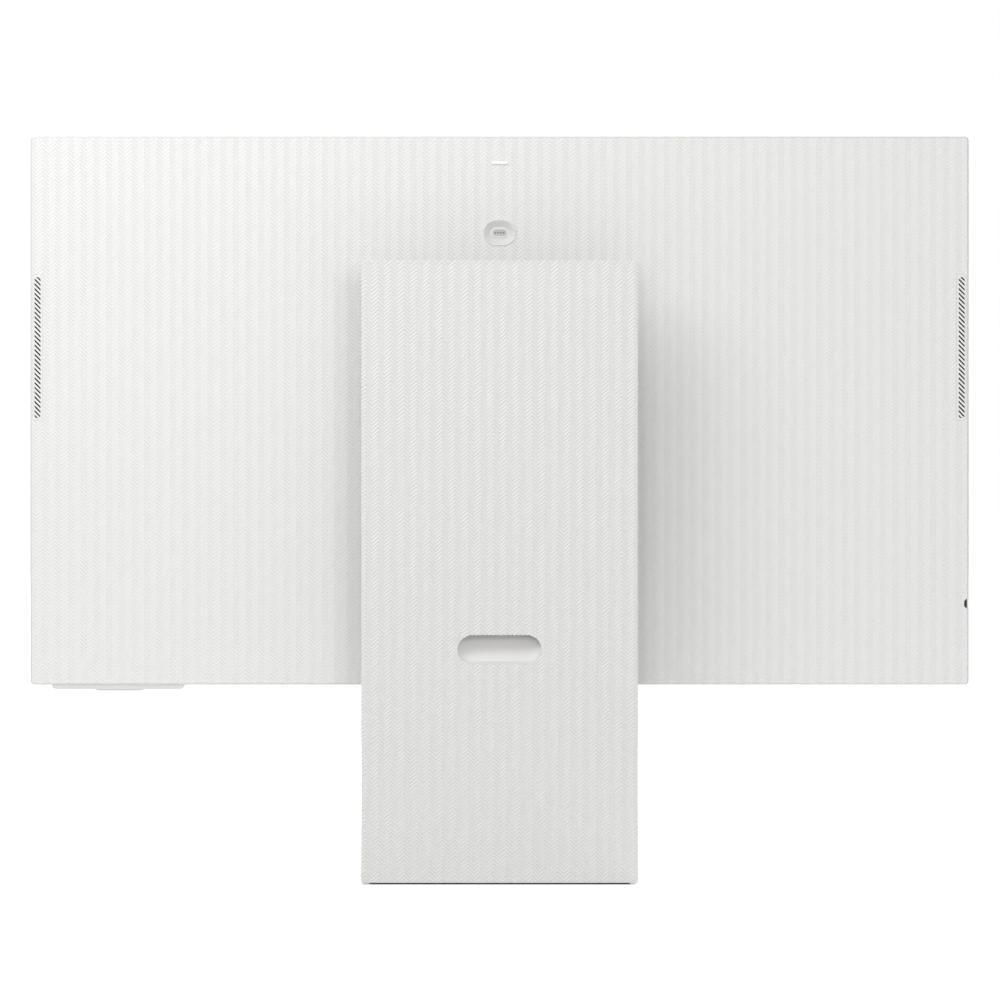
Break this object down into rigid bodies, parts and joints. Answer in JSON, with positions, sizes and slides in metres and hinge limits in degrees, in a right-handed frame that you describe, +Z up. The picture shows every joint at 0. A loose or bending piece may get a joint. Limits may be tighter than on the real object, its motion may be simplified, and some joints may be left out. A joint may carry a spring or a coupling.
{
  "type": "all in one pc",
  "caption": "Slim flat-panel computer on a flat column stand with height and tilt adjustment, slotted side speakers and a cable duct through the column.",
  "frame": {"origin": "middle of the footprint, on the surface the base stands on", "axes": "+Z up, the screen faces -Y, +X is the display's long side (the left as seen from behind)"},
  "size_m": [0.714, 0.2158, 0.5662],
  "materials": {
    "textured_shell": "moulded herringbone relief, matte",
    "smooth_shell": "smooth, fine matte",
    "base_steel": "pressed zinc-coated sheet",
    "white_metal": "die-cast, powder coated",
    "rubber": "matte",
    "spring_steel": "blued strip",
    "bright_steel": "machined, plated",
    "acetal": "smooth, slightly waxy",
    "circuit_board": "solder mask",
    "silicon": "polished die on a dull carrier",
    "heat_sink": "extruded, satin",
    "screen": "switched off, anti-glare",
    "diffuser": "translucent film and acrylic",
    "speaker_cloth": "fine black mesh",
    "black_plastic": "fine matte",
    "contact_pad": "smooth",
    "grey_plastic": "smooth, fine matte"
  },
  "bodies": {
    "stand": {"base_plate": "base_steel", "base_cover": "smooth_shell", "base_pad": "rubber", "base_screws": "bright_steel", "neck_rear_panel": "textured_shell", "neck_front_cover": "smooth_shell", "neck_frame": "base_steel", "cable_duct": "smooth_shell", "slide_rails": "bright_steel", "travel_stops": "rubber", "spring_spindles": "bright_steel", "spring_tape_left": "spring_steel", "spring_tape_right": "spring_steel"},
    "carriage": {"carriage_plate": "base_steel", "slider_pads": "acetal", "hinge_arm": "white_metal", "arm_screws": "bright_steel", "hinge_cover": "smooth_shell"},
    "display": {"hinge_pin": "bright_steel", "pin_nut": "bright_steel", "friction_washers": "acetal", "tilt_springs": "spring_steel", "mount_bracket": "white_metal", "mount_frame": "base_steel", "vesa_nuts": "bright_steel", "pod_cover": "smooth_shell", "main_board": "circuit_board", "board_screws": "bright_steel", "processor": "silicon", "heat_spreader": "heat_sink", "wireless_card": "bright_steel", "data_sockets": "bright_steel", "power_socket": "black_plastic", "front_frame": "smooth_shell", "display_cell": "screen", "optical_sheets": "diffuser", "light_guide": "diffuser", "light_bar": "circuit_board", "panel_back_plate": "base_steel", "rear_cover": "textured_shell", "lock_plate": "base_steel", "speaker_grille_left": "smooth_shell", "speaker_grille_right": "smooth_shell", "speaker_cloths": "speaker_cloth", "speaker_boxes": "black_plastic", "speaker_drivers": "black_plastic", "dock_cup": "smooth_shell", "dock_contacts": "contact_pad", "dock_magnets": "bright_steel", "timing_board": "circuit_board", "power_board": "circuit_board", "inner_leads": "black_plastic", "control_bar": "smooth_shell", "button_board": "circuit_board", "receiver_lens": "black_plastic"},
    "spring_coil_left": {"spring_coil_left": "spring_steel"},
    "spring_coil_right": {"spring_coil_right": "spring_steel"},
    "power_key": {"power_key": "smooth_shell"},
    "mute_switch": {"mute_switch": "grey_plastic"},
    "release_latch": {"release_latch": "grey_plastic"}
  },
  "joints": [
    {"name": "height_slide", "type": "slide", "parent": "stand", "child": "carriage", "axis": [0, 0, 1], "range_m": [-0.12, 0], "deforming": ["spring_tape_left", "spring_tape_right"]},
    {"name": "tilt", "type": "hinge", "parent": "carriage", "child": "display", "pos_m": [0, 0.056, 0.372], "axis": [-1, 0, 0], "range_deg": [-2, 15]},
    {"name": "coil_spin_left", "type": "hinge", "parent": "stand", "child": "spring_coil_left", "pos_m": [0.024, 0.0967, 0.44], "axis": [0, 1, 0], "range_deg": [0, 383]},
    {"name": "coil_spin_right", "type": "hinge", "parent": "stand", "child": "spring_coil_right", "pos_m": [-0.024, 0.0967, 0.44], "axis": [0, 1, 0], "range_deg": [-383, 0]},
    {"name": "power_key_press", "type": "slide", "parent": "display", "child": "power_key", "axis": [0, 0, 1], "range_m": [0, 0.0006], "stiffness_N_per_m": 800, "springref_m": -0.0006},
    {"name": "mute_switch_slide", "type": "slide", "parent": "display", "child": "mute_switch", "axis": [1, 0, 0], "range_m": [0, 0.008]},
    {"name": "release_latch_pull", "type": "slide", "parent": "display", "child": "release_latch", "axis": [0, 0, -1], "range_m": [0, 0.0032], "stiffness_N_per_m": 600, "springref_m": -0.002}
  ],
  "couplings": [
    {"joint": "coil_spin_left", "follows": "height_slide", "rad_per_m": -55.56},
    {"joint": "coil_spin_right", "follows": "height_slide", "rad_per_m": 55.56}
  ]
}
